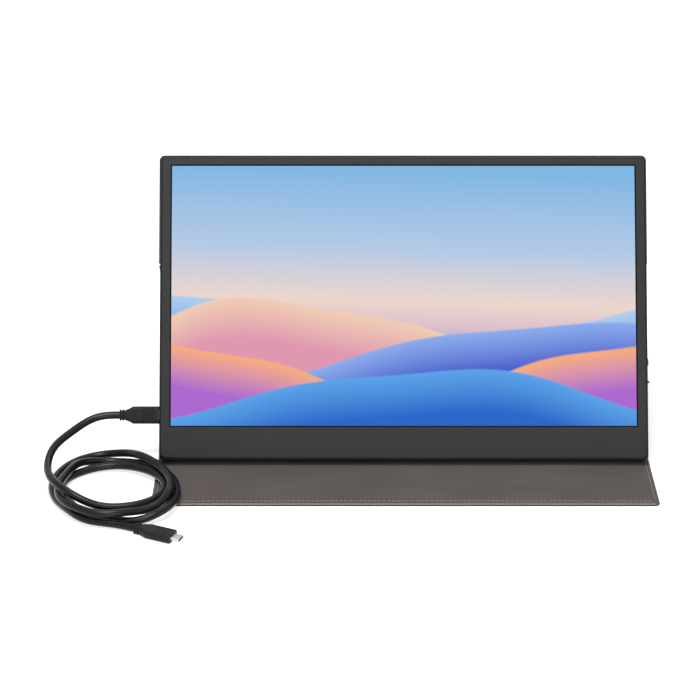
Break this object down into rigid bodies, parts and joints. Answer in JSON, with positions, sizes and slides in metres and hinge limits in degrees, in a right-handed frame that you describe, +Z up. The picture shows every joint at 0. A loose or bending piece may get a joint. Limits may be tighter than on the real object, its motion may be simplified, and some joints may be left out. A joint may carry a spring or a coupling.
{
  "type": "portable monitor with cover",
  "caption": "Thin portable flat-panel monitor leaning in a folding tri-panel cover, with a coiled lead plugged into its side.",
  "frame": {"origin": "on the table, under the line where the monitor's rear bottom edge sits on the cover's front panel, at the middle of the screen's width", "axes": "+X to the viewer's right, +Y to the back, +Z up"},
  "size_m": [0.4434, 0.2898, 0.205],
  "materials": {
    "cover_leather": "grained polyurethane leather, satin",
    "cover_lining": "microfibre suede, matte",
    "stiffener_board": "dense grey board",
    "magnet": "nickel-plated magnet",
    "bezel_plastic": "fine spark-eroded texture, matte",
    "housing_plastic": "fine texture, matte",
    "screen_glass": "anti-glare polariser over a lit picture",
    "diffuser_film": "diffuser and prism films",
    "light_guide": "clear acrylic sheet",
    "reflector_film": "white reflector film",
    "led_strip": "white LEDs on a strip",
    "panel_tray": "pressed sheet",
    "circuit_board": "solder mask",
    "ribbon": "polyimide ribbon",
    "screw_steel": "zinc-plated",
    "socket_metal": "nickel-plated",
    "socket_plastic": "moulded",
    "speaker_plastic": "moulded",
    "keeper_steel": "plain sheet steel",
    "switch_plastic": "moulded",
    "key_plastic": "moulded, satin",
    "plug_plastic": "moulded elastomer, satin",
    "plug_nickel": "nickel-plated deep-drawn shell",
    "cord_jacket": "smooth extruded jacket, satin"
  },
  "bodies": {
    "base": {"base_skin": "cover_leather", "base_board": "stiffener_board", "base_lining": "cover_lining", "base_magnets": "magnet"},
    "strut": {"strut_skin": "cover_leather", "strut_board": "stiffener_board", "spine_board": "stiffener_board", "strut_lining": "cover_lining", "foot_fold": "cover_leather", "upper_fold": "cover_lining"},
    "top_panel": {"top_skin": "cover_leather", "top_board": "stiffener_board", "top_lining": "cover_lining", "top_magnets": "magnet"},
    "monitor": {"rear_housing": "housing_plastic", "front_bezel": "bezel_plastic", "lcd_cell": "screen_glass", "diffuser_films": "diffuser_film", "light_guide": "light_guide", "reflector_sheet": "reflector_film", "led_strip": "led_strip", "panel_tray": "panel_tray", "timing_board": "circuit_board", "panel_ribbon": "ribbon", "signal_board": "circuit_board", "board_screws": "screw_steel", "display_socket": "socket_metal", "power_socket": "socket_metal", "socket_tongues": "socket_plastic", "video_socket": "socket_metal", "headphone_jack": "socket_plastic", "speakers": "speaker_plastic", "keeper_plates": "keeper_steel", "key_board": "circuit_board", "key_switch": "switch_plastic", "rocker_pivot": "switch_plastic"},
    "power_key": {"power_key": "key_plastic"},
    "menu_rocker": {"menu_rocker": "key_plastic"},
    "lead": {"plug_grip": "plug_plastic", "plug_shell": "plug_nickel", "plug_core": "socket_plastic", "cord_lead": "cord_jacket", "cord_coil": "cord_jacket", "cord_tail": "cord_jacket", "free_grip": "plug_plastic", "free_relief": "plug_plastic", "free_shell": "plug_nickel", "free_core": "socket_plastic"}
  },
  "joints": [
    {"name": "strut_fold", "type": "hinge", "parent": "base", "child": "strut", "pos_m": [0, 0.1672, 0.003], "axis": [-1, 0, 0], "range_deg": [0, 126.9], "deforming": ["foot_fold"]},
    {"name": "upper_fold", "type": "hinge", "parent": "strut", "child": "top_panel", "pos_m": [0, 0.07482, 0.13018], "axis": [-1, 0, 0], "range_deg": [-65.78, 0], "deforming": ["upper_fold"]},
    {"name": "monitor_lift", "type": "slide", "parent": "top_panel", "child": "monitor", "axis": [0, -0.8763, 0.4818], "range_m": [0, 0.05]},
    {"name": "power_press", "type": "slide", "parent": "monitor", "child": "power_key", "axis": [-1, 0, 0], "range_m": [0, 0.0004], "stiffness_N_per_m": 600, "springref_m": -0.0003},
    {"name": "menu_rock", "type": "hinge", "parent": "monitor", "child": "menu_rocker", "pos_m": [0.1751, 0.02609, 0.05586], "axis": [0, 0.8763, -0.4818], "range_deg": [-4, 4], "stiffness_Nm_per_rad": 0.05},
    {"name": "lead_unplug", "type": "slide", "parent": "monitor", "child": "lead", "axis": [-1, 0, 0], "range_m": [0, 0.02]}
  ],
  "couplings": [
    {"joint": "upper_fold", "follows": "strut_fold", "ratio": -0.51803}
  ]
}
